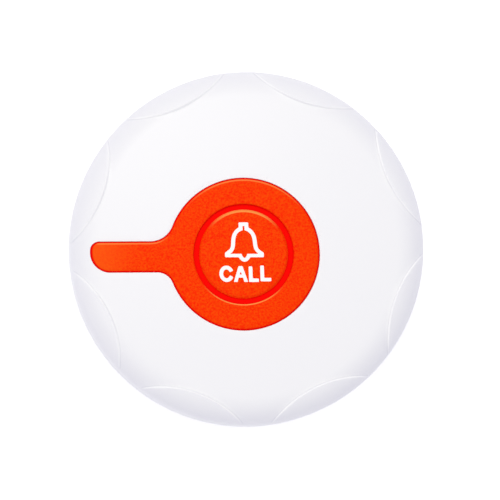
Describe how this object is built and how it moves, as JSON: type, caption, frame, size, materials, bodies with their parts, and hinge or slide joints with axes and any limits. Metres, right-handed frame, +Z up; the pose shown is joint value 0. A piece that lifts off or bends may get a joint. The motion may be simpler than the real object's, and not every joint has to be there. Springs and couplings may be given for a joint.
{
  "type": "waiter call button",
  "caption": "Round white tabletop call unit with a low dome, leaf reliefs round its shoulder and an orange keyhole-shaped key whose centre presses down.",
  "frame": {"origin": "centre of the face that lies on the table, on the housing's axis", "axes": "+Z up out of the dome, +X away from the tail of the key, +Y to the left when looking along +X"},
  "size_m": [0.06, 0.06, 0.0166],
  "materials": {
    "white_shell": "satin moulded",
    "base_plastic": "fine textured moulding",
    "orange_key": "matt moulded, fine grain",
    "clear_plastic": "polished clear",
    "board_green": "solder mask",
    "black_plastic": "moulded",
    "bright_steel": "bright plated",
    "tinned_metal": "tinned",
    "copper_wire": "enamelled wire",
    "lamp_white": "moulded",
    "component_body": "ceramic",
    "contact_metal": "gold flashed",
    "seal_rubber": "moulded",
    "screw_steel": "zinc plated",
    "foam_tape": "closed-cell foam"
  },
  "bodies": {
    "root": {"top_cover": "white_shell", "base_shell": "base_plastic", "housing_seal": "seal_rubber", "key_pad": "orange_key", "light_guide": "clear_plastic", "circuit_board": "board_green", "switch_body": "black_plastic", "switch_frame": "bright_steel", "switch_terminals": "tinned_metal", "encoder_chip": "black_plastic", "chip_leads": "tinned_metal", "resonator_can": "bright_steel", "aerial_coil": "copper_wire", "indicator_lamp": "lamp_white", "small_components": "component_body", "coin_cell": "bright_steel", "cell_gasket": "black_plastic", "positive_contact": "contact_metal", "negative_contact": "contact_metal", "housing_screws": "screw_steel", "board_screws": "screw_steel", "mounting_tape": "foam_tape"},
    "button": {"call_button": "orange_key"},
    "stem": {"switch_stem": "black_plastic"},
    "door": {"battery_door": "base_plastic", "door_seal": "seal_rubber"}
  },
  "joints": [
    {"name": "button_press", "type": "slide", "parent": "root", "child": "button", "axis": [0, 0, -1], "range_m": [0, 0.0005], "stiffness_N_per_m": 3000, "springref_m": -0.0002},
    {"name": "switch_press", "type": "slide", "parent": "root", "child": "stem", "axis": [0, 0, -1], "range_m": [0, 0.00025]},
    {"name": "door_turn", "type": "hinge", "parent": "root", "child": "door", "pos_m": [0, 0, 0.002], "axis": [0, 0, 1], "range_deg": [0, 60]}
  ],
  "couplings": [
    {"joint": "switch_press", "follows": "button_press", "ratio": 0.5}
  ]
}
